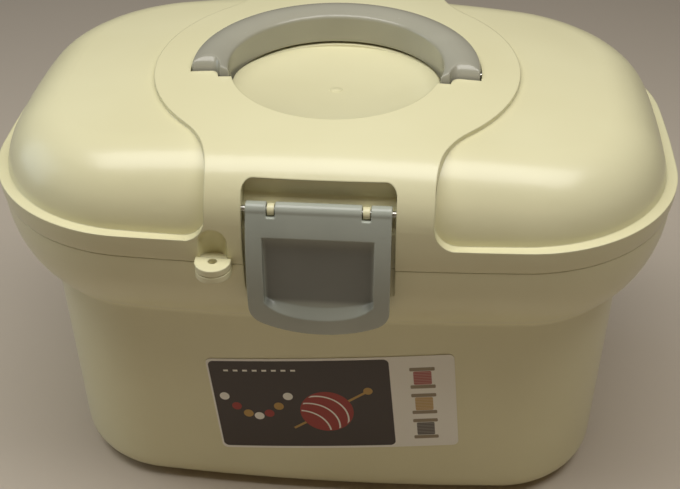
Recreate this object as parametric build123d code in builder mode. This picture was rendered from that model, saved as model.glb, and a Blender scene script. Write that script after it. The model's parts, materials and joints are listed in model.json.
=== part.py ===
"""Craft storage box: a deep tub, a domed lid with a carry handle and a front latch, and a lift-out tray.

Millimetres. X runs to the right seen from the front, Y to the back, Z up, with the origin under
the middle of the base.
"""

from build123d import *
import math
import os

os.makedirs("parts", exist_ok=True)

# The closed box seen from above
box_width = 340.0
box_depth = 224.0
rim_corner = 82.0
front_bow = 8.0
side_bow = 7.0

# Heights, one on top of the other
body_height = 125.0
collar_height = 47.0
skirt_height = 12.0
dome_rise = 42.0
handle_stand = 3.5

# Tub
tub_wall = 2.2
tub_floor = 3.8
body_corner = 56.0
body_taper = 2.5
foot_round = 15.0
foot_ring_width = 24.0
foot_recess = 1.4
collar_side_reach = 19.0
collar_front_reach = 22.0
collar_slope = 51.0
collar_steps = 5
crease_round = 4.0
lip_height = 4.0
lip_wall = 1.4
lip_root = 6.0
lip_gap = 0.4

# Lid
lid_wall = 2.2
parting_gap = 0.3
skirt_lean = 1.5
side_lean = 7.0
crown_radius_across = 1000.0
crown_radius_along = 900.0
crown_margin = 15.0
dome_round = 30.0
ledge_width = 5.0
panel_drop = 2.2
panel_corner = 12.0
band_half_width = 51.0
band_ring_radius = 91.0
band_ring_back = -5.0
band_ring_blend = 50.0

# Carry handle, folded back in its groove round the dish
handle_radius = 71.0
handle_width = 18.0
handle_back = -13.0
handle_end = 7.5
handle_tip_width = 4.5
handle_tip_reach = 6.0
handle_tip_blend = 5.0
handle_height = 17.0
handle_shoulder = 2.8
handle_wall = 2.6
handle_tip_depth = 2.5
handle_edge_round = 1.8
handle_lug_length = 12.0
handle_rib = 1.6
handle_rib_count = 5
handle_turn = 105.0
groove_gap = 0.8
dish_gap = 1.4
floor_gap = 1.2
dish_radius = 52.0
dish_bowl_radius = 260.0
dish_tilt_drop = 13.0
dish_front_drop = 2.9
pivot_setback = 1.5
pivot_depth = 5.0
pivot_pin_radius = 1.6
pivot_pin_length = 13.0
pivot_pin_seat = 1.8

# Latch and its pocket
latch_half_width = 32.5
latch_drop = 66.0
latch_bottom_rise = 10.5
latch_corner = 12.0
latch_wall = 2.4
latch_depth = 4.0
latch_flange = 2.0
latch_barrel_radius = 3.6
latch_belly = 5.4
latch_foot_stand = 1.0
latch_hinge_rise = 28.0
latch_hinge_inset = 6.0
latch_pin_radius = 1.4
latch_pin_seat = 1.6
latch_notch_place = 21.2
latch_notch_width = 4.0
latch_notch_depth = 6.0
latch_lug_radius = 2.8
latch_panel_half_width = 25.0
latch_panel_top = 11.0
latch_panel_side_rise = 20.8
latch_panel_sag = 4.8
latch_panel_stand = 0.6
latch_panel_backing = 1.2
latch_scoop_sag = 14.0
pocket_gap = 1.8
pocket_top_rise = 41.5
pocket_corner = 5.0
pocket_shallow = 2.5
pocket_deep = 14.0
pocket_slope_low = 18.5
pocket_slope_high = 32.0
catch_drop = 22.0
catch_height = 4.0
catch_reach = 1.2
catch_half_width = 14.0
catch_clearance = 1.5

# Padlock eyes
eye_place = -47.8
eye_stand = 2.9
eye_radius = 8.2
eye_hole_radius = 2.1
eye_thickness = 3.4
niche_radius = 7.0
niche_height = 19.0

# Rear hinges
hinge_place = 86.0
hinge_stand = 5.6
knuckle_radius = 4.0
knuckle_width = 9.0
knuckle_gap = 0.4
hinge_pin_radius = 1.5
hinge_arm_height = 7.0
hinge_arm_root = 6.0

# Lift-out tray
tray_seat_rise = 7.0
tray_height = 36.0
tray_wall = 1.8
tray_clearance = 1.4
tray_top_clearance = 5.6
tray_round = 1.5
tray_cross_place = 52.0
tray_cross_height = 22.0
tray_spine_height = 24.0
tray_post_place = 34.0
tray_post_width = 5.0
tray_post_depth = 8.0
tray_pivot_rise = 4.0
tray_bail_length = 23.0
tray_bail_bar = 4.0
tray_bail_corner = 6.0
tray_trunnion_radius = 1.6
tray_trunnion_seat = 4.0

# Running and press clearances
running_gap = 0.06
press_gap = 0.02
side_gap = 0.4

# Front label
label_width = 127.0
label_height = 64.0
label_place = (4.0, 67.5)
label_tilt = 5.0
label_thickness = 0.3
label_glue = 0.05
label_corner = 3.0

# Levels and centres that follow from the sizes above
crease = body_height
parting = crease + collar_height
ledge = parting + skirt_height
lid_top = ledge + dome_rise
handle_crest = lid_top + handle_stand
rim_x, rim_y = box_width / 2, box_depth / 2
parting_x, parting_y = rim_x - skirt_lean, rim_y - skirt_lean
parting_corner = rim_corner - skirt_lean
crease_x, crease_y = parting_x - collar_side_reach, parting_y - collar_front_reach
collar_radius = collar_height / math.sin(math.radians(collar_slope))
far = box_width


def level(height, half_width, half_depth, corner):
    """Rounded rectangle with gently bowed sides, on a level plane."""
    x, y = half_width - side_bow, half_depth - front_bow
    with BuildSketch(Plane.XY.offset(height)) as shape:
        with BuildLine():
            ThreePointArc((-x, -y), (0, -half_depth), (x, -y))
            ThreePointArc((x, -y), (half_width, 0), (x, y))
            ThreePointArc((x, y), (0, half_depth), (-x, y))
            ThreePointArc((-x, y), (-half_width, 0), (-x, -y))
        make_face()
        fillet(shape.vertices(), corner)
    return shape.sketch


def body_level(height, inward=0.0):
    """The tub's tapered body, carried straight on above the crease where that is asked for."""
    lean = body_taper * (crease - height) / body_height + inward
    return level(height, crease_x - lean, crease_y - lean, body_corner - inward)


def collar_level(height, inward=0.0):
    """The collar swells from the crease up to the parting line on a circular profile."""
    drop = parting - height
    rise = math.sqrt(collar_radius**2 - drop**2)
    share = (collar_radius - rise) / (collar_radius * (1 - math.cos(math.radians(collar_slope))))
    slant = inward * collar_radius / rise
    corner = parting_corner - share * (parting_corner - body_corner) - inward
    half_width = parting_x - share * collar_side_reach - slant
    half_depth = parting_y - share * collar_front_reach - slant
    return level(height, half_width, half_depth, corner)


def collar_levels(start, inward=0.0):
    step = (parting - start) / collar_steps
    return [collar_level(start + step * turn, inward) for turn in range(collar_steps + 1)]


def lid_level(height, inward=0.0):
    """The lid's side: the skirt leans out up to the ledge, and the dome leans back in above it."""
    share = (height - ledge) / dome_rise if height > ledge else (ledge - height) / skirt_height
    inset = inward + (side_lean if height > ledge else skirt_lean) * share**2
    return level(height, rim_x - inset, rim_y - inset, rim_corner - inset)


def crown(drop):
    """A wide block whose top is the lid's crown: arched across, and arched from front to back."""
    top = lid_top - drop
    half = box_width / 2 + crown_margin
    low = top - (crown_radius_across - math.sqrt(crown_radius_across**2 - half**2))
    sweep = math.degrees(math.asin((box_depth / 2 + crown_margin) / crown_radius_along))
    arch = Axis((0, 0, top - crown_radius_along), (1, 0, 0))
    with BuildPart() as block:
        with BuildSketch(Plane.XZ):
            with BuildLine():
                ThreePointArc((-half, low), (0, top), (half, low))
                Polyline((half, low), (half, crease), (-half, crease), (-half, low))
            make_face()
        revolve(axis=arch, revolution_arc=2 * sweep)
    return block.part.rotate(arch, -sweep)


def dome(start, inward, drop, edge_round):
    """A domed form of the lid, set in from its side and down from its crown."""
    steps = 6
    rise = lid_top + crown_margin / 2 - start
    with BuildPart() as form:
        loft([lid_level(start + rise * turn / steps, inward) for turn in range(steps + 1)])
        add(crown(drop), mode=Mode.INTERSECT)
        top_edges = form.edges().filter_by(lambda edge: edge.bounding_box().min.Z > start + rise / 4)
        fillet(top_edges, edge_round)
    return form.part


def band_region(height, inward=0.0):
    """Plan of the raised band: a strip from front to back that swells into a ring round the handle."""
    with BuildSketch(Plane.XY.offset(height)) as shape:
        Rectangle(2 * (band_half_width - inward), far)
        with Locations((0, band_ring_back)):
            Circle(band_ring_radius - inward)
        inner = shape.vertices().filter_by(lambda corner: abs(corner.Y) < box_depth / 2)
        fillet(inner, band_ring_blend + inward)
    return shape.sketch


handle_inner = handle_radius - handle_width
handle_cut = handle_back - handle_end
tip_outer = handle_inner + handle_tip_width
groove_floor = handle_crest - handle_height - floor_gap
pivot_y = handle_back + pivot_setback
pivot_z = lid_top - pivot_depth


def front_plan(outward=0.0):
    """Plan of all that lies behind the handle's front edge: straight, with a tip inside each end."""
    front = handle_cut - outward
    with BuildSketch() as shape:
        with Locations((0, handle_back)):
            Circle(tip_outer + outward)
        with Locations((0, front - handle_tip_reach)):
            Rectangle(far, far, align=(Align.CENTER, Align.MAX), mode=Mode.SUBTRACT)
        with Locations((0, front)):
            Rectangle(far, far, align=(Align.CENTER, Align.MIN))
        notch = shape.vertices().filter_by(
            lambda corner: abs(corner.Y - front) < 0.01 and abs(corner.X) < handle_radius
        )
        fillet(notch, handle_tip_blend - outward)
    return shape.sketch


def handle_plan(height, outward=0.0, inner_gap=0.0):
    """Plan of the folded handle: most of a ring, cut off by its front edge."""
    with BuildSketch(Plane.XY.offset(height)) as shape:
        with Locations((0, handle_back)):
            Circle(handle_radius + outward)
            Circle(handle_inner - inner_gap, mode=Mode.SUBTRACT)
        add(front_plan(outward), mode=Mode.INTERSECT)
    return shape.sketch


handle_bottom = handle_crest - handle_height
end_radius = pivot_y - handle_cut
pivot_axis = Axis((0, pivot_y, pivot_z), (1, 0, 0))


def groove(wall=0.0):
    """Space the folded handle lies in and its ends swing through; or that space with its wall."""
    outward, inner_gap = groove_gap + wall, dish_gap + wall
    with BuildPart() as space:
        extrude(handle_plan(pivot_z, outward, inner_gap), amount=far)
        with BuildSketch(Plane.XY.offset(groove_floor - wall)):
            add(handle_plan(0, outward, inner_gap))
            with Locations((0, pivot_y)):
                Rectangle(far, far, align=(Align.CENTER, Align.MAX), mode=Mode.SUBTRACT)
        extrude(amount=dome_rise)
        with BuildSketch(Plane.XY.offset(pivot_z)):
            add(handle_plan(0, outward, inner_gap))
            with Locations((0, pivot_y)):
                Rectangle(far, far, align=(Align.CENTER, Align.MIN), mode=Mode.SUBTRACT)
        revolve(axis=pivot_axis, revolution_arc=handle_turn)
    return space.part


bowl_slope = math.atan2(dish_tilt_drop, 2 * dish_radius)
bowl_front_z = lid_top - dish_front_drop
bowl_half_chord = dish_radius / math.cos(bowl_slope)
bowl_reach = math.sqrt(dish_bowl_radius**2 - bowl_half_chord**2)
bowl_y = handle_back + bowl_reach * math.sin(bowl_slope)
bowl_z = bowl_front_z - dish_tilt_drop / 2 + bowl_reach * math.cos(bowl_slope)


def dish(radius, grow=0.0):
    """Space of the dish: a round well whose floor is a wide bowl, deeper at the back."""
    with BuildPart() as well:
        with Locations((0, handle_back, groove_floor - crown_margin)):
            Cylinder(radius, 2 * dome_rise, align=(Align.CENTER, Align.CENTER, Align.MIN))
        with Locations((0, bowl_y, bowl_z)):
            Sphere(dish_bowl_radius + grow, mode=Mode.INTERSECT)
    return well.part


latch_axis_y = -(rim_y - latch_hinge_inset)
latch_axis_z = parting + latch_hinge_rise
pocket_half = latch_half_width + pocket_gap
recess_y = -(parting_y - pocket_shallow)
pocket_top = parting + pocket_top_rise


def pocket(wall=0.0):
    """The latch pocket's space: shallow behind the plate, deep behind the hinge; or its outer wall."""
    half = pocket_half + wall
    back = -(rim_y - pocket_deep) + wall
    with BuildPart() as space:
        with BuildSketch(Plane.YZ.offset(-half)):
            with BuildLine():
                Polyline(
                    (-far, parting - far),
                    (recess_y + wall, parting - far),
                    (recess_y + wall, parting + pocket_slope_low),
                    (back, parting + pocket_slope_high),
                    (back, pocket_top + wall),
                    (-far, pocket_top + wall),
                    close=True,
                )
            make_face()
        extrude(amount=2 * half)
        top_corners = space.edges().filter_by(Axis.Y).group_by(Axis.Z)[-1]
        fillet(top_corners, pocket_corner + wall)
    return space.part


def eye_plan(height):
    """Plan of a padlock eye: a round-ended tab that reaches back into the wall."""
    with BuildSketch(Plane.XY.offset(height)) as shape:
        with Locations((eye_place, -(parting_y + eye_stand))):
            Circle(eye_radius)
            Rectangle(2 * eye_radius, 2 * eye_radius, align=(Align.CENTER, Align.MIN))
            Circle(eye_hole_radius, mode=Mode.SUBTRACT)
    return shape.sketch


lid_bottom = parting + parting_gap
niche_y = -(parting_y + eye_stand)


def niche(wall=0.0):
    """Scoop above the padlock eye that lets a shackle through; or its outer wall."""
    with BuildPart() as scoop:
        with Locations((eye_place, niche_y, lid_bottom + eye_thickness - wall)):
            rise = niche_height - niche_radius - eye_thickness + wall
            Cylinder(niche_radius + wall, rise, align=(Align.CENTER, Align.CENTER, Align.MIN))
        with Locations((eye_place, niche_y, lid_bottom + niche_height - niche_radius)):
            Sphere(niche_radius + wall)
    return scoop.part


hinge_y = parting_y + hinge_stand
knuckle_pitch = knuckle_width + knuckle_gap
hinge_places = (-hinge_place, hinge_place)


def knuckle(centre, rises):
    """One hinge knuckle on its arm; the lid's arm rises from the parting line, the tub's drops."""
    side = 1 if rises else -1
    near, away = parting + side * parting_gap, parting + side * hinge_arm_height
    with BuildPart() as piece:
        with BuildSketch(Plane.YZ.offset(centre - knuckle_width / 2)):
            with Locations((hinge_y, parting)):
                Circle(knuckle_radius)
            with BuildLine():
                Polyline(
                    (hinge_y, near),
                    (hinge_y, parting + side * knuckle_radius),
                    (parting_y - hinge_arm_root, away),
                    (parting_y - hinge_arm_root, near),
                    close=True,
                )
            make_face()
            gap = press_gap if not rises else running_gap
            with Locations((hinge_y, parting)):
                Circle(hinge_pin_radius + gap, mode=Mode.SUBTRACT)
        extrude(amount=knuckle_width)
    return piece.part


# Tub: tapered body, swelling collar, inner lip, latch recess, catch and hinge knuckles
tray_seat = crease + tray_seat_rise
pad_y = recess_y + tub_wall
lip_outer_x, lip_outer_y = parting_x - lid_wall - lip_gap, parting_y - lid_wall - lip_gap
lip_corner = parting_corner - lid_wall - lip_gap
lip_inside = level(0, lip_outer_x - lip_wall, lip_outer_y - lip_wall, lip_corner - lip_wall)

with BuildPart() as tub_form:
    loft([body_level(0), body_level(crease)])
    fillet(tub_form.edges().group_by(Axis.Z)[0], foot_round)
    loft(collar_levels(crease))
    seam = tub_form.edges().filter_by(lambda edge: abs(edge.bounding_box().max.Z - crease) < 0.01)
    fillet(seam.filter_by(lambda edge: abs(edge.bounding_box().min.Z - crease) < 0.01), crease_round)

with BuildPart() as tub_hollow:
    loft([body_level(tub_floor, tub_wall), body_level(tray_seat, tub_wall)])
    fillet(tub_hollow.edges().group_by(Axis.Z)[0], foot_round - tub_wall)
    loft(collar_levels(tray_seat, tub_wall))
    with Locations((0, pad_y, parting)):
        Box(
            2 * (pocket_half + tub_wall),
            far,
            2 * catch_drop,
            align=(Align.CENTER, Align.MAX, Align.CENTER),
            mode=Mode.SUBTRACT,
        )

with BuildPart() as base_tub:
    add(tub_form.part)
    for place in hinge_places:
        for side in (-1, 1):
            add(knuckle(place + side * knuckle_pitch, rises=False))
    with BuildSketch(Plane.YZ.offset(-catch_half_width)):
        catch_z = parting - catch_drop
        with BuildLine():
            Polyline(
                (recess_y + tub_wall, catch_z + catch_height / 2),
                (recess_y - catch_reach + 1, catch_z + catch_height / 2),
                (recess_y - catch_reach, catch_z + catch_height / 2 - 1),
                (recess_y - catch_reach, catch_z - catch_height / 2),
                (recess_y + tub_wall, catch_z - catch_height / 2 - 1),
                close=True,
            )
        make_face()
    extrude(amount=2 * catch_half_width)
    add(tub_hollow.part, mode=Mode.SUBTRACT)
    with BuildSketch(Plane.XY.offset(parting - lip_root)):
        add(level(0, parting_x - tub_wall / 2, parting_y - tub_wall / 2, parting_corner - tub_wall / 2))
        add(lip_inside, mode=Mode.SUBTRACT)
    extrude(amount=lip_root)
    with BuildSketch(Plane.XY.offset(parting)):
        add(level(0, lip_outer_x, lip_outer_y, lip_corner))
        add(lip_inside, mode=Mode.SUBTRACT)
        with Locations((0, -far / 2)):
            Rectangle(2 * (pocket_half + lid_wall + side_gap), far, mode=Mode.SUBTRACT)
    extrude(amount=lip_height)
    add(niche(lid_wall + side_gap), mode=Mode.SUBTRACT)
    with Locations((0, recess_y, parting)):
        Box(
            2 * pocket_half,
            far,
            2 * (catch_drop - catch_height),
            align=(Align.CENTER, Align.MAX, Align.CENTER),
            mode=Mode.SUBTRACT,
        )
    add(extrude(body_level(0, foot_ring_width), amount=foot_recess, mode=Mode.PRIVATE), mode=Mode.SUBTRACT)
base_tub.part.label = "base_tub"
export_step(base_tub.part, "parts/base_tub.step")


# Lid: domed shell with two panels let into it, a groove and dish for the handle, a latch pocket
pillow = dome(ledge - lid_wall, ledge_width, panel_drop, dome_round + ledge_width)

with BuildPart() as side_panels:
    with BuildSketch(Plane.XY.offset(ledge)):
        Rectangle(box_width + crown_margin, box_depth + crown_margin)
        add(band_region(0), mode=Mode.SUBTRACT)
    extrude(amount=2 * dome_rise)
    low_edges = side_panels.edges().group_by(Axis.Z)[0]
    fillet(low_edges.filter_by(lambda edge: abs(edge.center().X) < rim_x - side_bow), panel_corner)
    add(pillow, mode=Mode.SUBTRACT)

with BuildPart() as band_hollow:
    add(dome(lid_bottom, lid_wall, lid_wall, dome_round - lid_wall))
    add(extrude(band_region(crease, lid_wall), amount=far, mode=Mode.PRIVATE), mode=Mode.INTERSECT)

with BuildPart() as lid_hollow:
    pillow_inset = ledge_width + lid_wall
    pillow_round = dome_round + ledge_width - lid_wall
    add(dome(ledge - 2 * lid_wall, pillow_inset, panel_drop + lid_wall, pillow_round))
    add(band_hollow.part)
    loft([lid_level(lid_bottom, lid_wall), lid_level(ledge - lid_wall, lid_wall)])
    add(groove(lid_wall), mode=Mode.SUBTRACT)
    add(dish(dish_radius + lid_wall, lid_wall), mode=Mode.SUBTRACT)
    add(pocket(lid_wall), mode=Mode.SUBTRACT)
    add(niche(lid_wall), mode=Mode.SUBTRACT)

slope_run = -(rim_y - pocket_deep) - recess_y
slope_rise = pocket_slope_high - pocket_slope_low
slope_length = math.hypot(slope_run, slope_rise)
lug_length = latch_barrel_radius + lid_wall
lug_root_y = latch_axis_y + lug_length * slope_rise / slope_length
lug_root_z = latch_axis_z - lug_length * slope_run / slope_length
lug_side_y = latch_lug_radius * slope_run / slope_length
lug_side_z = latch_lug_radius * slope_rise / slope_length
latch_pin_half = pocket_half + latch_pin_seat
pivot_pin_start = handle_radius + groove_gap + pivot_pin_seat - pivot_pin_length

with BuildPart() as lid_shell:
    add(dome(lid_bottom, 0, 0, dome_round))
    for place in hinge_places:
        add(knuckle(place, rises=True))
    add(side_panels.part, mode=Mode.SUBTRACT)
    add(lid_hollow.part, mode=Mode.SUBTRACT)
    add(groove(), mode=Mode.SUBTRACT)
    add(dish(dish_radius), mode=Mode.SUBTRACT)
    add(pocket(), mode=Mode.SUBTRACT)
    add(niche(), mode=Mode.SUBTRACT)
    for side in (-1, 1):
        lug_width = latch_notch_width - 2 * side_gap
        with BuildSketch(Plane.YZ.offset(side * latch_notch_place - lug_width / 2)):
            with Locations((latch_axis_y, latch_axis_z)):
                Circle(latch_lug_radius)
            with BuildLine():
                Polyline(
                    (latch_axis_y + lug_side_y, latch_axis_z + lug_side_z),
                    (latch_axis_y - lug_side_y, latch_axis_z - lug_side_z),
                    (lug_root_y - lug_side_y, lug_root_z - lug_side_z),
                    (lug_root_y + lug_side_y, lug_root_z + lug_side_z),
                    close=True,
                )
            make_face()
        extrude(amount=lug_width)
    with BuildSketch(Plane.YZ.offset(-latch_pin_half)):
        with Locations((latch_axis_y, latch_axis_z)):
            Circle(latch_pin_radius + press_gap)
    extrude(amount=2 * latch_pin_half, mode=Mode.SUBTRACT)
    for side in (-1, 1):
        with BuildSketch(Plane.YZ.offset(side * pivot_pin_start)):
            with Locations((pivot_y, pivot_z)):
                Circle(pivot_pin_radius + press_gap)
        extrude(amount=side * pivot_pin_length, mode=Mode.SUBTRACT)
lid_shell.part.label = "lid_shell"
export_step(lid_shell.part, "parts/lid_shell.step")


# Padlock eyes: one under the parting line, one above it, with their holes in line
with BuildPart() as base_padlock_eye:
    extrude(eye_plan(parting - eye_thickness), amount=eye_thickness)
    add(tub_form.part, mode=Mode.SUBTRACT)
base_padlock_eye.part.label = "base_padlock_eye"
export_step(base_padlock_eye.part, "parts/base_padlock_eye.step")

with BuildPart() as lid_padlock_eye:
    extrude(eye_plan(lid_bottom), amount=eye_thickness)
    add(dome(lid_bottom, 0, 0, dome_round), mode=Mode.SUBTRACT)
lid_padlock_eye.part.label = "lid_padlock_eye"
export_step(lid_padlock_eye.part, "parts/lid_padlock_eye.step")


# Carry handle: a C of domed section, hollow and ribbed below, with solid lugs and forward tips
handle_middle = handle_radius - handle_width / 2
handle_shoulder_z = handle_crest - handle_shoulder
handle_spin = Axis((0, handle_back, 0), (0, 0, 1))

with BuildPart() as handle_outline:
    with BuildSketch(Plane.XY.offset(pivot_z)):
        add(front_plan())
        with Locations((0, pivot_y)):
            Rectangle(2 * far, 2 * far, align=(Align.CENTER, Align.MIN), mode=Mode.SUBTRACT)
    revolve(axis=pivot_axis)
    with BuildSketch(Plane.YZ.offset(-rim_x)):
        with Locations((pivot_y, pivot_z - handle_tip_depth)):
            Rectangle(far, far, align=(Align.MAX, Align.MAX))
        with Locations((pivot_y, pivot_z)):
            Circle(end_radius, mode=Mode.SUBTRACT)
    extrude(amount=box_width, mode=Mode.SUBTRACT)
    with Locations((0, pivot_y, pivot_z)):
        Box(box_width, far, far, align=(Align.CENTER, Align.MIN, Align.CENTER))

with BuildPart() as handle_channel:
    with BuildSketch(Plane.XZ.offset(-handle_back)):
        with BuildLine():
            low, high = handle_bottom - handle_wall, handle_shoulder_z - handle_wall
            Polyline((handle_inner + handle_wall, high), (handle_inner + handle_wall, low))
            Polyline((handle_inner + handle_wall, low), (handle_radius - handle_wall, low))
            Polyline((handle_radius - handle_wall, low), (handle_radius - handle_wall, high))
            ThreePointArc(
                (handle_inner + handle_wall, high),
                (handle_middle, handle_crest - handle_wall),
                (handle_radius - handle_wall, high),
            )
        make_face()
    revolve(axis=handle_spin)
    with Locations((0, pivot_y + handle_lug_length, pivot_z)):
        Box(far, far, far, align=(Align.CENTER, Align.MIN, Align.CENTER), mode=Mode.INTERSECT)
    rib_spread = 180.0 / (handle_rib_count + 1)
    with Locations((0, handle_back, pivot_z)):
        with PolarLocations(
            handle_middle, handle_rib_count, rib_spread, rib_spread * (handle_rib_count - 1), endpoint=True
        ):
            Box(handle_width, handle_rib, 2 * handle_height, mode=Mode.SUBTRACT)

with BuildPart() as carry_handle:
    with BuildSketch(Plane.XZ.offset(-handle_back)):
        with BuildLine():
            Polyline((handle_inner, handle_shoulder_z), (handle_inner, handle_bottom))
            Polyline((handle_inner, handle_bottom), (handle_radius, handle_bottom))
            Polyline((handle_radius, handle_bottom), (handle_radius, handle_shoulder_z))
            ThreePointArc(
                (handle_inner, handle_shoulder_z),
                (handle_middle, handle_crest),
                (handle_radius, handle_shoulder_z),
            )
        make_face()
    revolve(axis=handle_spin)
    rims = carry_handle.edges().filter_by(GeomType.CIRCLE).filter_by(
        lambda edge: abs(edge.bounding_box().min.Z - handle_shoulder_z) < 0.01
        and abs(edge.bounding_box().max.Z - handle_shoulder_z) < 0.01
    )
    fillet(rims, handle_edge_round)
    add(handle_outline.part, mode=Mode.INTERSECT)
    add(handle_channel.part, mode=Mode.SUBTRACT)
    for side in (-1, 1):
        with BuildSketch(Plane.YZ.offset(side * (pivot_pin_start - side_gap))):
            with Locations((pivot_y, pivot_z)):
                Circle(pivot_pin_radius + running_gap)
        extrude(amount=side * handle_width, mode=Mode.SUBTRACT)
carry_handle.part.label = "carry_handle"
export_step(carry_handle.part, "parts/carry_handle.step")


# Pins of the handle, the latch and the hinges
def pin(start, length, y, z, radius):
    with BuildPart() as rod:
        with BuildSketch(Plane.YZ.offset(start)):
            with Locations((y, z)):
                Circle(radius)
        extrude(amount=length)
    return rod.part


with BuildPart() as handle_pin_left:
    add(pin(-pivot_pin_start, -pivot_pin_length, pivot_y, pivot_z, pivot_pin_radius))
handle_pin_left.part.label = "handle_pin_left"
export_step(handle_pin_left.part, "parts/handle_pin_left.step")

with BuildPart() as handle_pin_right:
    add(pin(pivot_pin_start, pivot_pin_length, pivot_y, pivot_z, pivot_pin_radius))
handle_pin_right.part.label = "handle_pin_right"
export_step(handle_pin_right.part, "parts/handle_pin_right.step")

with BuildPart() as latch_pin:
    add(pin(-latch_pin_half, 2 * latch_pin_half, latch_axis_y, latch_axis_z, latch_pin_radius))
latch_pin.part.label = "latch_pin"
export_step(latch_pin.part, "parts/latch_pin.step")

hinge_pin_half = knuckle_pitch + knuckle_width / 2

with BuildPart() as hinge_pin_left:
    add(pin(-hinge_place - hinge_pin_half, 2 * hinge_pin_half, hinge_y, parting, hinge_pin_radius))
hinge_pin_left.part.label = "hinge_pin_left"
export_step(hinge_pin_left.part, "parts/hinge_pin_left.step")

with BuildPart() as hinge_pin_right:
    add(pin(hinge_place - hinge_pin_half, 2 * hinge_pin_half, hinge_y, parting, hinge_pin_radius))
hinge_pin_right.part.label = "hinge_pin_right"
export_step(hinge_pin_right.part, "parts/hinge_pin_right.step")


# Latch: a barrel on the pin and a bellied plate with side flanges and a scooped finger panel
latch_top_y, latch_foot_y = latch_axis_y - latch_barrel_radius, -(parting_y + latch_foot_stand)
latch_belly_y = -(parting_y + latch_belly)
latch_foot_z = latch_axis_z - latch_drop
latch_mid_z = (latch_axis_z + latch_foot_z) / 2


def latch_slab(near, away, half_width):
    """Curved slab of the latch between two depths behind its front face."""
    with BuildPart() as slab:
        with BuildSketch(Plane.YZ.offset(-half_width)):
            with BuildLine():
                ThreePointArc(
                    (latch_top_y + near, latch_axis_z),
                    (latch_belly_y + near, latch_mid_z),
                    (latch_foot_y + near, latch_foot_z),
                )
                Line((latch_foot_y + near, latch_foot_z), (latch_foot_y + away, latch_foot_z))
                ThreePointArc(
                    (latch_foot_y + away, latch_foot_z),
                    (latch_belly_y + away, latch_mid_z),
                    (latch_top_y + away, latch_axis_z),
                )
                Line((latch_top_y + away, latch_axis_z), (latch_top_y + near, latch_axis_z))
            make_face()
        extrude(amount=2 * half_width)
    return slab.part


def latch_outline(inset=0.0):
    """Front view of the latch as a prism, its foot an arc between rounded corners."""
    half, high = latch_half_width - inset, latch_axis_z + 2 * latch_barrel_radius
    foot, foot_side = latch_foot_z + inset, latch_foot_z + latch_bottom_rise + inset
    with BuildPart() as prism:
        with BuildSketch(Plane.XZ):
            with BuildLine():
                ThreePointArc((-half, foot_side), (0, foot), (half, foot_side))
                Polyline((half, foot_side), (half, high), (-half, high), (-half, foot_side))
            face = make_face()
            fillet(face.vertices().group_by(Axis.Y)[0], latch_corner - inset)
        extrude(amount=rim_y + 2 * pocket_deep)
    return prism.part


def panel_section(depth, side, foot, wall):
    """One depth of the finger panel: square at the top, an arc at the bottom."""
    half, top = latch_panel_half_width + wall, latch_axis_z - latch_panel_top + wall
    with BuildSketch(Plane.XZ.offset(depth)) as section:
        with BuildLine():
            ThreePointArc((-half, side - wall), (0, foot - wall), (half, side - wall))
            Polyline((half, side - wall), (half, top), (-half, top), (-half, side - wall))
        make_face()
    return section.sketch


def finger_panel(wall=0.0):
    """Space of the finger panel, whose floor ends in a scoop, or that space with the wall behind it."""
    side = latch_foot_z + latch_panel_side_rise
    floor = side - latch_panel_sag
    mouth = side - latch_scoop_sag
    with BuildPart() as space:
        loft(
            [
                panel_section(parting_y + latch_panel_stand - wall, side, floor, wall),
                panel_section(-latch_belly_y - wall, side, mouth, wall),
            ]
        )
    return space.part


with BuildPart() as latch_hollow:
    add(latch_outline(latch_flange))
    with Locations((0, latch_foot_y, latch_foot_z)):
        Box(
            2 * (catch_half_width + catch_clearance),
            2 * pocket_deep,
            2 * latch_corner,
        )
    add(latch_slab(latch_wall, pocket_deep, latch_half_width - latch_flange), mode=Mode.INTERSECT)
    add(finger_panel(latch_panel_backing), mode=Mode.SUBTRACT)

with BuildPart() as panel_back:
    add(finger_panel(latch_panel_backing))
    add(latch_slab(latch_wall / 2, pocket_deep, latch_half_width), mode=Mode.INTERSECT)

with BuildPart() as front_latch:
    add(latch_slab(0, latch_depth, latch_half_width))
    add(latch_outline(), mode=Mode.INTERSECT)
    add(latch_hollow.part, mode=Mode.SUBTRACT)
    add(panel_back.part)
    with BuildSketch(Plane.YZ.offset(-latch_half_width)):
        with Locations((latch_axis_y, latch_axis_z)):
            Circle(latch_barrel_radius)
    extrude(amount=2 * latch_half_width)
    add(finger_panel(), mode=Mode.SUBTRACT)
    with BuildSketch(Plane.YZ.offset(-latch_half_width)):
        with Locations((latch_axis_y, latch_axis_z)):
            Circle(latch_pin_radius + running_gap)
    extrude(amount=2 * latch_half_width, mode=Mode.SUBTRACT)
    for side in (-1, 1):
        with Locations((side * latch_notch_place, latch_axis_y, latch_axis_z - latch_notch_depth)):
            Box(
                latch_notch_width,
                2 * pocket_deep,
                2 * latch_drop,
                align=(Align.CENTER, Align.CENTER, Align.MIN),
                mode=Mode.SUBTRACT,
            )
front_latch.part.label = "front_latch"
export_step(front_latch.part, "parts/front_latch.step")


# Lift-out tray: drafted tub on the seat, with a spine, two cross walls and two posts for its bail
tray_top = tray_seat + tray_height
tray_pivot_z = tray_seat + tray_spine_height + tray_pivot_rise
post_top = tray_pivot_z + 2 * tray_trunnion_radius


def tray_form(start, wall):
    """Drafted form of the tray from a level upwards, set in by a wall."""
    with BuildPart() as form:
        loft(
            [
                collar_level(tray_seat, tub_wall + tray_clearance + wall),
                collar_level(tray_top, tub_wall + tray_top_clearance + wall),
            ]
        )
        with Locations((0, 0, start)):
            Box(far, far, far, align=(Align.CENTER, Align.CENTER, Align.MIN), mode=Mode.INTERSECT)
        fillet(form.edges().group_by(Axis.Z)[0], tray_round)
    return form.part


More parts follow.
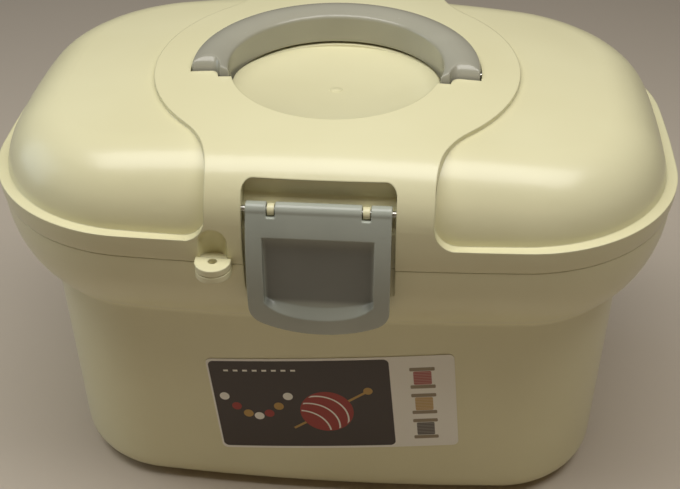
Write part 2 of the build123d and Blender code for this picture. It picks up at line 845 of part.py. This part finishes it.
with BuildPart() as tray_dividers:
    with Locations((0, 0, tray_seat)):
        Box(far, tray_wall, tray_spine_height, align=(Align.CENTER, Align.CENTER, Align.MIN))
    for side in (-1, 1):
        with Locations((side * tray_cross_place, 0, tray_seat)):
            Box(tray_wall, far, tray_cross_height, align=(Align.CENTER, Align.CENTER, Align.MIN))
    add(tray_form(tray_seat, tray_wall / 2), mode=Mode.INTERSECT)

with BuildPart() as lift_out_tray:
    add(tray_form(tray_seat, 0))
    add(tray_form(tray_seat + tray_wall, tray_wall), mode=Mode.SUBTRACT)
    add(tray_dividers.part)
    for side in (-1, 1):
        with Locations((side * tray_post_place, 0, tray_seat + tray_wall / 2)):
            post_height = post_top - tray_seat - tray_wall / 2
            Box(
                tray_post_width,
                tray_post_depth,
                post_height,
                align=(Align.CENTER, Align.CENTER, Align.MIN),
            )
        with BuildSketch(Plane.YZ.offset(side * (tray_post_place - tray_post_width / 2))):
            with Locations((0, tray_pivot_z)):
                Circle(tray_trunnion_radius + running_gap)
        extrude(amount=side * (tray_trunnion_seat + side_gap / 2), mode=Mode.SUBTRACT)
lift_out_tray.part.label = "lift_out_tray"
export_step(lift_out_tray.part, "parts/lift_out_tray.step")

bail_half = tray_post_place - tray_post_width / 2 - side_gap

with BuildPart() as tray_handle:
    with BuildSketch(Plane.XY.offset(tray_pivot_z - tray_bail_bar / 2)) as bail_plan:
        with Locations((0, -tray_bail_bar / 2)):
            Rectangle(
                2 * bail_half,
                tray_bail_length + tray_bail_bar / 2,
                align=(Align.CENTER, Align.MIN),
            )
        fillet(bail_plan.vertices().group_by(Axis.Y)[-1], tray_bail_corner)
        with Locations((0, -tray_bail_bar)):
            Rectangle(
                2 * (bail_half - tray_bail_bar),
                tray_bail_length,
                align=(Align.CENTER, Align.MIN),
                mode=Mode.SUBTRACT,
            )
    extrude(amount=tray_bail_bar)
    leg_ends = tray_handle.edges().filter_by(Axis.X).group_by(Axis.Y)[0]
    fillet(leg_ends, tray_bail_bar / 2 - running_gap)
    trunnion_half = tray_post_place - tray_post_width / 2 + tray_trunnion_seat
    for side in (-1, 1):
        with BuildSketch(Plane.YZ.offset(side * (bail_half - tray_bail_bar / 2))):
            with Locations((0, tray_pivot_z)):
                Circle(tray_trunnion_radius)
        extrude(amount=side * (trunnion_half - bail_half + tray_bail_bar / 2))
tray_handle.part.label = "tray_handle"
export_step(tray_handle.part, "parts/tray_handle.step")


# Front label: a thin sheet laid on the bowed front, slightly tilted
with BuildPart() as front_label:
    label_front = -(label_glue + label_thickness)
    loft([body_level(0, label_front), body_level(crease, label_front)])
    loft([body_level(0, -label_glue), body_level(crease, -label_glue)], mode=Mode.SUBTRACT)
    with BuildSketch(Plane.XZ.offset(body_corner)):
        with Locations(Location((*label_place, 0), (0, 0, label_tilt))):
            RectangleRounded(label_width, label_height, label_corner)
    extrude(amount=rim_y, mode=Mode.INTERSECT)
front_label.part.label = "front_label"
export_step(front_label.part, "parts/front_label.step")
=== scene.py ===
# %% [markdown]
# # Craft storage box
# A moulded plastic box: a deep cream tub, a domed cream lid with a grey carry handle folded
# round a dish, a grey latch in a pocket at the front, and a printed label. The working solids
# come from the frame, in metres. This script gives them their finish and adds what a mould and
# a printer leave on the real thing.

# %% Load the frame
import json
import math
import bpy
from mathutils import Matrix, Vector

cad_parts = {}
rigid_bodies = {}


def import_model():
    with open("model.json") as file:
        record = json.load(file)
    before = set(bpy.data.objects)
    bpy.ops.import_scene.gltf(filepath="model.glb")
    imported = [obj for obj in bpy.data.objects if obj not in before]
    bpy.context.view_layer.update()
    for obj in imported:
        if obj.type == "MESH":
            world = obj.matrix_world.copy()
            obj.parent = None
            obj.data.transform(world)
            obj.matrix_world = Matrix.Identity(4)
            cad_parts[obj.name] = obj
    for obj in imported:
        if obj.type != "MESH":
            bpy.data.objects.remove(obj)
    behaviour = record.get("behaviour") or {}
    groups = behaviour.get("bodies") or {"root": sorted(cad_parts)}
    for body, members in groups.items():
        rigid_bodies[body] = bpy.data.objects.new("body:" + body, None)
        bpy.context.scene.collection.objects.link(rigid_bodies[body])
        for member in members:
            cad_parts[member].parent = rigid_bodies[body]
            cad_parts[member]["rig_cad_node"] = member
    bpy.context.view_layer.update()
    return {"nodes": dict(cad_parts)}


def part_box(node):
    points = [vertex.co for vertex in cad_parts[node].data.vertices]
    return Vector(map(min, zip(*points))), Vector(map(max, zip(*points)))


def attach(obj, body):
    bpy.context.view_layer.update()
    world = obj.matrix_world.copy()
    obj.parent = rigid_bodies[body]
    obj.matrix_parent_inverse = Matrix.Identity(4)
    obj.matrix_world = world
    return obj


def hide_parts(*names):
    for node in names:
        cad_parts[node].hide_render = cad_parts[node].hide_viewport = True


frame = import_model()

nodes = frame["nodes"]
print("nodes:", sorted(nodes))

# %% [markdown]
# ## Shader maths
# A material is a graph of small sums. Wiring every Math node by hand hides the formula, so one
# class wraps a socket and lets Python's own signs add the nodes. Everything that is not plain
# arithmetic comes from one method that names the node's type, its settings and its inputs.


# %% Wires and surfaces
class Wire:
    """A number, colour or vector that a node gives; Python's signs on it add Math nodes."""

    def __init__(self, surface, socket):
        self.surface, self.socket = surface, socket

    def math(self, operation, first, second=None):
        values = {0: first} if second is None else {0: first, 1: second}
        return self.surface.node("ShaderNodeMath", {"operation": operation}, values)

    def __add__(self, other):
        return self.math("ADD", self, other)

    def __radd__(self, other):
        return self.math("ADD", other, self)

    def __sub__(self, other):
        return self.math("SUBTRACT", self, other)

    def __rsub__(self, other):
        return self.math("SUBTRACT", other, self)

    def __mul__(self, other):
        return self.math("MULTIPLY", self, other)

    def __rmul__(self, other):
        return self.math("MULTIPLY", other, self)

    def __abs__(self):
        return self.math("ABSOLUTE", self)

    def sine(self):
        return self.math("SINE", self)

    def root(self):
        return self.math("SQRT", self)

    def at_least(self, floor):
        return self.math("MAXIMUM", self, floor)

    def ramp(self, low, high):
        """0 below low, 1 above high, smooth between."""
        settings = {"interpolation_type": "SMOOTHSTEP"}
        return self.surface.node("ShaderNodeMapRange", settings, {0: self, 1: low, 2: high})


class Surface:
    """A material being made: its tree, its shader and the nodes added to them."""

    def __init__(self, name):
        self.material = bpy.data.materials.new(name)
        self.material.use_nodes = True
        self.tree = self.material.node_tree
        self.shader = self.tree.nodes["Principled BSDF"]

    def node(self, kind, settings=(), values=(), output=0):
        made = self.tree.nodes.new(kind)
        for name, value in dict(settings).items():
            setattr(made, name, value)
        for socket, value in dict(values).items():
            self.feed(made.inputs[socket], value)
        return Wire(self, made.outputs[output])

    def feed(self, socket, value):
        if isinstance(value, Wire):
            self.tree.links.new(value.socket, socket)
        else:
            socket.default_value = value

    def place(self):
        return self.node("ShaderNodeTexCoord", output="Object")

    def along(self, axis):
        """One coordinate of the place: X, Y or Z."""
        return self.node("ShaderNodeSeparateXYZ", (), {0: self.place()}, axis)

    def streaks(self, scale):
        """The place, squeezed by another amount in each direction."""
        return self.node("ShaderNodeMapping", (), {"Vector": self.place(), "Scale": scale})

    def noise(self, scale, detail=2.0, roughness=0.5, place=None):
        values = {"Scale": scale, "Detail": detail, "Roughness": roughness}
        values["Vector"] = place or self.place()
        return self.node("ShaderNodeTexNoise", (), values)

    def mix(self, share, first, second):
        settings = {"data_type": "RGBA"}
        return self.node("ShaderNodeMix", settings, {0: share, 6: first, 7: second}, output=2)

    def bump(self, height, distance, strength=1.0, edge=None):
        values = {"Height": height, "Distance": distance, "Strength": strength}
        if edge:
            values["Normal"] = self.node("ShaderNodeBevel", {"samples": 8}, {"Radius": edge})
        return self.node("ShaderNodeBump", (), values)

    def finish(self, **sockets):
        for name, value in sockets.items():
            self.feed(self.shader.inputs[name.replace("_", " ").title()], value)
        return self.material


# %% [markdown]
# ## Floor, light and camera
# The floor is one plain pale sheet. Glossy plastic shows its lights, so the main one is a wide
# soft panel close overhead: it gives the long highlights on the crown, and the tub stays in the
# lid's shade. A weak warm panel stands high in front and a cool one at the left. The camera
# stands where the photographer stood: a few degrees to the right, about 35 degrees up.

# %% Floor
mm = 0.001
bpy.ops.object.select_all(action="DESELECT")
bpy.ops.mesh.primitive_plane_add(size=12.0, location=(0, 2.0, 0))
floor = bpy.context.object
floor.name = "floor"
pale = (0.61, 0.54, 0.45, 1)
floor.data.materials.append(Surface("pale_floor").finish(base_color=pale, roughness=0.85))
print("floor:", floor.name)

# %% Camera
azimuth, elevation, roll = math.radians(4.8), math.radians(35.3), math.radians(-0.3)
distance = 649 * mm
target = Vector((0.4 * mm, 0, 107.3 * mm))
frame_width, focal_pixels, sensor = 680, 1155.6, 36.0
level = math.cos(elevation)
back = Vector((math.sin(azimuth) * level, -math.cos(azimuth) * level, math.sin(elevation)))
bpy.ops.object.camera_add(location=target + back * distance)
camera = bpy.context.object
camera.rotation_mode = "QUATERNION"
turn = Matrix.Rotation(roll, 4, "Z").to_quaternion()
camera.rotation_quaternion = (-back).to_track_quat("-Z", "Y") @ turn
camera.data.sensor_width = sensor
camera.data.lens = sensor * focal_pixels / frame_width
camera.data.clip_start = 0.01
bpy.context.scene.camera = camera
print("lens", round(camera.data.lens, 2), "mm")

# %% Lights


def panel_light(name, place, size, power, tint):
    """A rectangular lamp that looks at the middle of the box."""
    bpy.ops.object.light_add(type="AREA", location=place)
    lamp = bpy.context.object
    lamp.name = name
    lamp.data.shape = "RECTANGLE"
    lamp.data.size, lamp.data.size_y = size
    lamp.data.energy = power
    lamp.data.color = tint
    lamp.rotation_mode = "QUATERNION"
    lamp.rotation_quaternion = (middle - Vector(place)).to_track_quat("-Z", "Y")
    print(name, power, "W")


middle = Vector((0, 0, 120 * mm))
panel_light("overhead_light", (0.0, -0.13, 0.93), (1.3, 0.4), 7.9, (1.0, 0.985, 0.95))
panel_light("warm_front_light", (0.1, -1.3, 0.95), (1.6, 0.4), 0.7, (1.0, 0.70, 0.44))
panel_light("cool_side_light", (-2.2, 0.3, 0.7), (1.2, 1.2), 7.0, (0.7, 0.86, 1.0))
world = bpy.context.scene.world or bpy.data.worlds.new("studio")
bpy.context.scene.world = world
world.use_nodes = True
room = world.node_tree.nodes["Background"].inputs
room["Color"].default_value = (1.0, 0.76, 0.52, 1)
room["Strength"].default_value = 0.05
bpy.context.scene.view_settings.view_transform = "Standard"

# %% [markdown]
# ## Edges as the mould leaves them
# The frame's solids have sharp edges, and a mould has none: plastic shrinks a little and every
# corner comes out round. On the two large shells the edge is rounded in the shading alone: a
# bevel node blends the normals of the faces on both sides within a millimetre or so, which
# keeps the long curves exact. The handle, the latch and the padlock eyes show their edges more,
# so a copy of each is melted: its loose triangles are merged, it is rebuilt from small cubes,
# the steps between them are smoothed away, which rounds every edge by about the size of a cube,
# and the mesh is thinned again.


# %% Moulded copies
def finish_modifier(piece, modifier):
    bpy.context.view_layer.objects.active = piece
    bpy.ops.object.modifier_apply(modifier=modifier.name)


def moulded(node, body, cube, passes, triangles, extras=()):
    original = nodes[node]
    bpy.ops.object.select_all(action="DESELECT")
    original.select_set(True)
    bpy.context.view_layer.objects.active = original
    bpy.ops.object.duplicate()
    piece = bpy.context.object
    piece.parent = None
    piece.name = "moulded_" + node
    del piece["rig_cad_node"]
    bpy.ops.object.mode_set(mode="EDIT")
    bpy.ops.mesh.select_all(action="SELECT")
    bpy.ops.mesh.remove_doubles(threshold=1e-6)
    bpy.ops.mesh.customdata_custom_splitnormals_clear()
    bpy.ops.object.mode_set(mode="OBJECT")
    for extra in extras:
        extra.select_set(True)
    if extras:
        bpy.ops.object.join()
    remesh = piece.modifiers.new("cubes", "REMESH")
    remesh.mode = "VOXEL"
    remesh.voxel_size = cube
    finish_modifier(piece, remesh)
    smooth = piece.modifiers.new("melt", "SMOOTH")
    smooth.factor = 0.5
    smooth.iterations = passes
    finish_modifier(piece, smooth)
    thin = piece.modifiers.new("thin", "DECIMATE")
    thin.ratio = min(1.0, triangles / (2 * len(piece.data.polygons)))
    finish_modifier(piece, thin)
    bpy.ops.object.shade_smooth()
    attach(piece, body)
    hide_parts(node)
    print(piece.name, "faces:", len(piece.data.polygons))
    return piece


moulded_handle = moulded("carry_handle", "handle", 0.45 * mm, 6, 70000)
moulded_lid_eye = moulded("lid_padlock_eye", "lid", 0.18 * mm, 5, 12000)
moulded_base_eye = moulded("base_padlock_eye", "base", 0.18 * mm, 5, 12000)

# %% [markdown]
# ## Latch with short notches
# The lid's two lugs hold the latch's pin through notches in its barrel, and each notch ends
# just under the pin. The frame's notches are longer, so a block closes the foot of each: a cube
# whose lower front edge is moved out to the latch's own face, found by a ray, and which a
# boolean cylinder hollows round the lug. The blocks are joined to the copy before it is melted,
# so no seam is left.

# %% Notch blocks
pin_low, pin_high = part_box("latch_pin")
pin_line = (pin_low + pin_high) / 2
lug_room = 3.2 * mm
block_top, block_bottom = pin_line.z - 2.0 * mm, pin_line.z - 7.0 * mm
block_width, block_thick = 4.4 * mm, 2.6 * mm
notch_place = 21.2 * mm


def latch_face(x, z):
    """The y of the latch's outer face beside a notch."""
    start, towards = Vector((x, -1.0, z)), Vector((0, 1, 0))
    hit, place, normal, face = nodes["front_latch"].ray_cast(start, towards)
    return place.y


def notch_block(x):
    beside = x + 4.0 * mm
    face_top, face_bottom = latch_face(beside, block_top), latch_face(beside, block_bottom)
    place = (x, face_top + block_thick / 2, (block_top + block_bottom) / 2)
    size = (block_width, block_thick, block_top - block_bottom)
    bpy.ops.object.select_all(action="DESELECT")
    bpy.ops.mesh.primitive_cube_add(size=1.0, location=place, scale=size)
    block = bpy.context.object
    bpy.ops.object.transform_apply(location=True, rotation=True, scale=True)
    bpy.ops.object.mode_set(mode="EDIT")
    bpy.ops.mesh.select_mode(type="VERT")
    bpy.ops.mesh.select_all(action="DESELECT")
    bpy.ops.object.mode_set(mode="OBJECT")
    for vertex in block.data.vertices:
        vertex.select = vertex.co.z < place[2]
    bpy.ops.object.mode_set(mode="EDIT")
    bpy.ops.transform.translate(value=(0, face_bottom - face_top, 0))
    bpy.ops.object.mode_set(mode="OBJECT")
    axis, along_x = (x, pin_line.y, pin_line.z), (0, math.pi / 2, 0)
    bpy.ops.mesh.primitive_cylinder_add(
        vertices=48, radius=lug_room, depth=8 * mm, location=axis, rotation=along_x
    )
    lug_space = bpy.context.object
    hollow = block.modifiers.new("hollow", "BOOLEAN")
    hollow.operation = "DIFFERENCE"
    hollow.object = lug_space
    finish_modifier(block, hollow)
    bpy.data.objects.remove(lug_space)
    print("notch block at", round(x / mm, 1), "faces:", len(block.data.polygons))
    return block


notch_blocks = [notch_block(side * notch_place) for side in (-1, 1)]
moulded_latch = moulded("front_latch", "latch", 0.3 * mm, 6, 70000, notch_blocks)

# %% [markdown]
# ## Gate mark
# Molten plastic enters the lid's mould at one point, and when the runner is broken off it
# leaves a small button in the middle of the dish. It is a disc that is inset and raised in the
# middle, with its rim bevelled, set on the dish by a ray cast down onto the lid.

# %% Gate mark in the dish
gate_radius, gate_height, groove_depth, button_rise = 3.2 * mm, 0.5 * mm, 0.15 * mm, 0.35 * mm
above_dish = Vector((0.0, -13.0 * mm, 1.0))
hit, place, normal, face = nodes["lid_shell"].ray_cast(above_dish, Vector((0, 0, -1)))
bpy.ops.object.select_all(action="DESELECT")
bpy.ops.mesh.primitive_cylinder_add(vertices=64, radius=gate_radius, depth=gate_height, location=place)
gate = bpy.context.object
gate.name = "gate_mark"
gate.rotation_euler = normal.to_track_quat("Z", "Y").to_euler()
bpy.ops.object.mode_set(mode="EDIT")
bpy.ops.mesh.select_mode(type="FACE")
bpy.ops.mesh.select_all(action="DESELECT")
bpy.ops.object.mode_set(mode="OBJECT")
for polygon in gate.data.polygons:
    polygon.select = polygon.normal.z > 0.9
bpy.ops.object.mode_set(mode="EDIT")
bpy.ops.mesh.inset(thickness=0.9 * mm)
bpy.ops.transform.translate(value=-normal * groove_depth)
bpy.ops.mesh.inset(thickness=1.2 * mm)
bpy.ops.transform.translate(value=normal * button_rise)
bpy.ops.object.mode_set(mode="OBJECT")
rim = gate.modifiers.new("rim", "BEVEL")
rim.width = 0.12 * mm
rim.segments = 3
rim.limit_method = "ANGLE"
rim.angle_limit = math.radians(25)
finish_modifier(gate, rim)
bpy.ops.object.transform_apply(location=True, rotation=True, scale=True)
bpy.ops.object.shade_smooth_by_angle(angle=math.radians(35))
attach(gate, "lid")
print("gate mark at", [round(value / mm, 1) for value in place], "faces:", len(gate.data.polygons))

# %% [markdown]
# ## Cream plastic
# Most likely polypropylene with a cream pigment, fairly glossy where the tool was polished. Its
# colour is even but for a faint cloudiness, and use leaves a fine haze that makes the gloss a
# little uneven. The skin has a very slight waviness, which bends the highlights, and a weak
# coat over the softer gloss gives the glints that show along the lid's steps.

# %% Cream finish
cream = Surface("cream_plastic")
cloud = cream.noise(9.0, 3.0)
haze = cream.noise(22.0, 2.0, 0.5)
shade = cream.mix(cloud.ramp(0.3, 0.7), (0.80, 0.765, 0.50, 1), (0.76, 0.72, 0.455, 1))
wave = cream.bump(cream.noise(60.0, 2.0), 0.12 * mm, 0.3, 1.0 * mm)
cream_material = cream.finish(
    base_color=shade,
    roughness=haze.ramp(0.2, 0.8) * 0.06 + 0.29,
    coat_weight=0.25,
    coat_roughness=0.16,
    normal=wave,
)
print("cream nodes:", len(cream.tree.nodes))

# %% [markdown]
# ## Grey plastics
# The handle is a warm grey plastic, glossier than the cream, and the latch a satin grey from a
# spark eroded tool with a fine even grain. Both have a faint haze like the cream's, and thin
# nicks show on the handle as short pale scratches.

# %% Grey finishes
grey = Surface("handle_grey")
grey_cloud = grey.noise(14.0, 3.0)
grey_haze = grey.noise(50.0, 3.0, 0.5)
nicks = grey.noise(1.0, 2.0, 0.5, grey.streaks((160.0, 1400.0, 1400.0)))
scratch = nicks.ramp(0.72, 0.8) * 0.25
grey_shade = grey.mix(grey_cloud.ramp(0.3, 0.7), (0.41, 0.40, 0.325, 1), (0.36, 0.352, 0.285, 1))
grey_material = grey.finish(
    base_color=grey.mix(scratch, grey_shade, (0.52, 0.51, 0.45, 1)),
    roughness=grey_haze.ramp(0.2, 0.8) * 0.06 + 0.13 + scratch * 0.5,
    normal=grey.bump(grey.noise(90.0, 2.0), 0.1 * mm, 0.25, 0.5 * mm),
)

dark = Surface("latch_grey")
latch_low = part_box("front_latch")[0].z
dark_haze = dark.noise(30.0, 3.0, 0.5)
grain = dark.bump(dark.noise(2600.0, 2.0), 0.03 * mm, 0.35, 0.5 * mm)
dark_shade = dark.mix(dark_haze.ramp(0.35, 0.7), (0.42, 0.445, 0.385, 1), (0.38, 0.405, 0.35, 1))
# The finger panel is painted darker than the latch round it: painted shade that stands in for a darker
# reflection from below, not marks of use; the bail has none
panel_front = 1.0 - dark.along("Y").ramp(-100.0 * mm, -95.0 * mm)
panel_side = 1.0 - abs(dark.along("X")).ramp(23.0 * mm, 25.5 * mm)
panel_foot = dark.along("Z").ramp(latch_low + 17.0 * mm, latch_low + 21.0 * mm)
panel_head = 1.0 - dark.along("Z").ramp(latch_low + 46.0 * mm, latch_low + 58.0 * mm)
painted_shade_panel = panel_front * panel_side * panel_foot * panel_head
# Painted shade: the finger panel's colour is mixed towards a near-black grey
dark_shade = dark.mix(painted_shade_panel * 0.75, dark_shade, (0.14, 0.14, 0.125, 1))
dark_material = dark.finish(base_color=dark_shade, roughness=dark_haze * 0.08 + 0.22, normal=grain)
print("grey nodes:", len(grey.tree.nodes), "and", len(dark.tree.nodes))

# %% [markdown]
# ## Pins
# The handle, latch and lid turn on short lengths of drawn steel rod. The die leaves fine lines
# along the rod, which is along X for every pin here, so the bump is a noise stretched in X.

# %% Steel finish
steel = Surface("pin_steel")
drawn = steel.noise(1.0, 3.0, 0.6, steel.streaks((60.0, 5200.0, 5200.0)))
steel_material = steel.finish(
    base_color=steel.mix(drawn.ramp(0.3, 0.8), (0.64, 0.63, 0.60, 1), (0.50, 0.49, 0.46, 1)),
    metallic=1.0,
    roughness=drawn * 0.2 + 0.25,
    normal=steel.bump(drawn, 0.02 * mm, 0.5),
)
print("steel nodes:", len(steel.tree.nodes))

# %% [markdown]
# ## Label
# A printed and laminated sheet: a dark warm field on the left, a white strip on the right, and
# simple motifs from the craft drawer. Everything is drawn by formula in the label's own two
# directions, across and up, which are the object's X and Z turned by the label's tilt. A shape
# is a distance to its outline, and the step from 0 to 1 at that distance is its ink.

# %% Label print
label = Surface("label_print")
corner_low, corner_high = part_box("front_label")
label_centre = (corner_low + corner_high) / 2
label_tilt = math.radians(5.0)
from_centre_x = label.along("X") - label_centre.x
from_centre_z = label.along("Z") - label_centre.z
across = from_centre_x * math.cos(label_tilt) + from_centre_z * math.sin(label_tilt)
up = from_centre_z * math.cos(label_tilt) - from_centre_x * math.sin(label_tilt)
soft = 0.12 * mm


def ink(distance):
    """1 inside the outline, 0 outside, with a printer's slight softness."""
    return 1.0 - distance.ramp(-soft, soft)


def spot(x, y):
    """Distance from a place on the label, given in millimetres."""
    along, above = across - x * mm, up - y * mm
    return (along * along + above * above).root()


def disc(x, y, radius):
    return ink(spot(x, y) - radius * mm)


def ring(x, y, radius, line):
    return ink(abs(spot(x, y) - radius * mm) - line * mm / 2)


def panel(x, y, half_width, half_height, corner):
    """A rounded rectangle."""
    along = (abs(across - x * mm) - (half_width - corner) * mm).at_least(0.0)
    above = (abs(up - y * mm) - (half_height - corner) * mm).at_least(0.0)
    return ink((along * along + above * above).root() - corner * mm)


def printed(under, shape, colour):
    return label.mix(shape, under, colour)


white = (0.90, 0.88, 0.79, 1)
field_brown = (0.052, 0.036, 0.028, 1)
red = (0.36, 0.035, 0.022, 1)
ochre = (0.50, 0.30, 0.07, 1)
sheet = printed(white, panel(-16.0, 0.0, 46.5, 30.5, 3.0), field_brown)
# A ball of yarn: a red disc with arcs of thread, and a needle behind it
needle_turn = math.radians(32.0)
needle_x, needle_y = across + 2.0 * mm, up + 4.0 * mm
needle_side = needle_x * math.sin(needle_turn) - needle_y * math.cos(needle_turn)
needle_run = needle_x * math.cos(needle_turn) + needle_y * math.sin(needle_turn)
needle = ink(abs(needle_side) - 0.7 * mm) * ink(abs(needle_run) - 24.0 * mm)
sheet = printed(sheet, needle, ochre)
sheet = printed(sheet, disc(18.6, 9.0, 2.4), ochre)
sheet = printed(sheet, disc(-4.0, -5.0, 14.0), red)
for offset in (5.0, 10.0, 15.0):
    strand = ring(-4.0 - offset, -5.0 - offset, 16.0, 0.9) * disc(-4.0, -5.0, 13.4)
    sheet = printed(sheet, strand, white)
# A string of beads that hangs across the left of the field
for step in range(7):
    x, y = -57.0 + 5.6 * step, 6.0 - 14.0 * math.sin(math.pi * step / 6)
    sheet = printed(sheet, disc(x, y, 2.6), (white, red, ochre)[step % 3])
# Running stitches along the top of the field
stitch_wave = (across * (math.tau / (5.0 * mm))).sine().ramp(-0.1, 0.1)
sheet = printed(sheet, panel(-36.0, 24.0, 20.0, 0.6, 0.3) * stitch_wave, white)
# Spools on the white strip: two flanges and a wound middle
thread = (up * (math.tau / (1.1 * mm))).sine() * 0.15 + 0.85
for y, colour in ((17.0, red), (-1.0, ochre), (-19.0, field_brown)):
    sheet = printed(sheet, panel(47.0, y, 4.6, 4.6, 0.8) * thread, colour)
    for rise in (-6.0, 6.0):
        sheet = printed(sheet, panel(47.0, y + rise, 6.4, 1.2, 0.6), (0.30, 0.24, 0.15, 1))
label_material = label.finish(
    base_color=sheet,
    roughness=label.noise(120.0, 4.0, 0.6) * 0.15 + 0.27,
    normal=label.bump(label.noise(400.0, 2.0), 0.02 * mm, 0.3),
)
print("label nodes:", len(label.tree.nodes))

# %% [markdown]
# ## Painting
# Each finish goes on the pieces that are made of it. The frame's own solids get it too, those
# that a moulded copy replaces among them, so that nothing is left with a plain stand-in colour.

# %% Paint
painting = {
    cream_material: ("base_tub", "base_padlock_eye", "lid_shell", "lid_padlock_eye"),
    grey_material: ("carry_handle", "lift_out_tray"),
    dark_material: ("front_latch", "tray_handle"),
    steel_material: (
        "handle_pin_left", "handle_pin_right", "latch_pin", "hinge_pin_left", "hinge_pin_right"
    ),
    label_material: ("front_label",),
}
made = {
    cream_material: (moulded_lid_eye, moulded_base_eye, gate),
    grey_material: (moulded_handle,),
    dark_material: (moulded_latch,),
}
for material, names in painting.items():
    painted = [nodes[name] for name in names] + list(made.get(material, ()))
    for piece in painted:
        piece.data.materials.clear()
        piece.data.materials.append(material)
    print(material.name, "on", len(painted), "pieces")
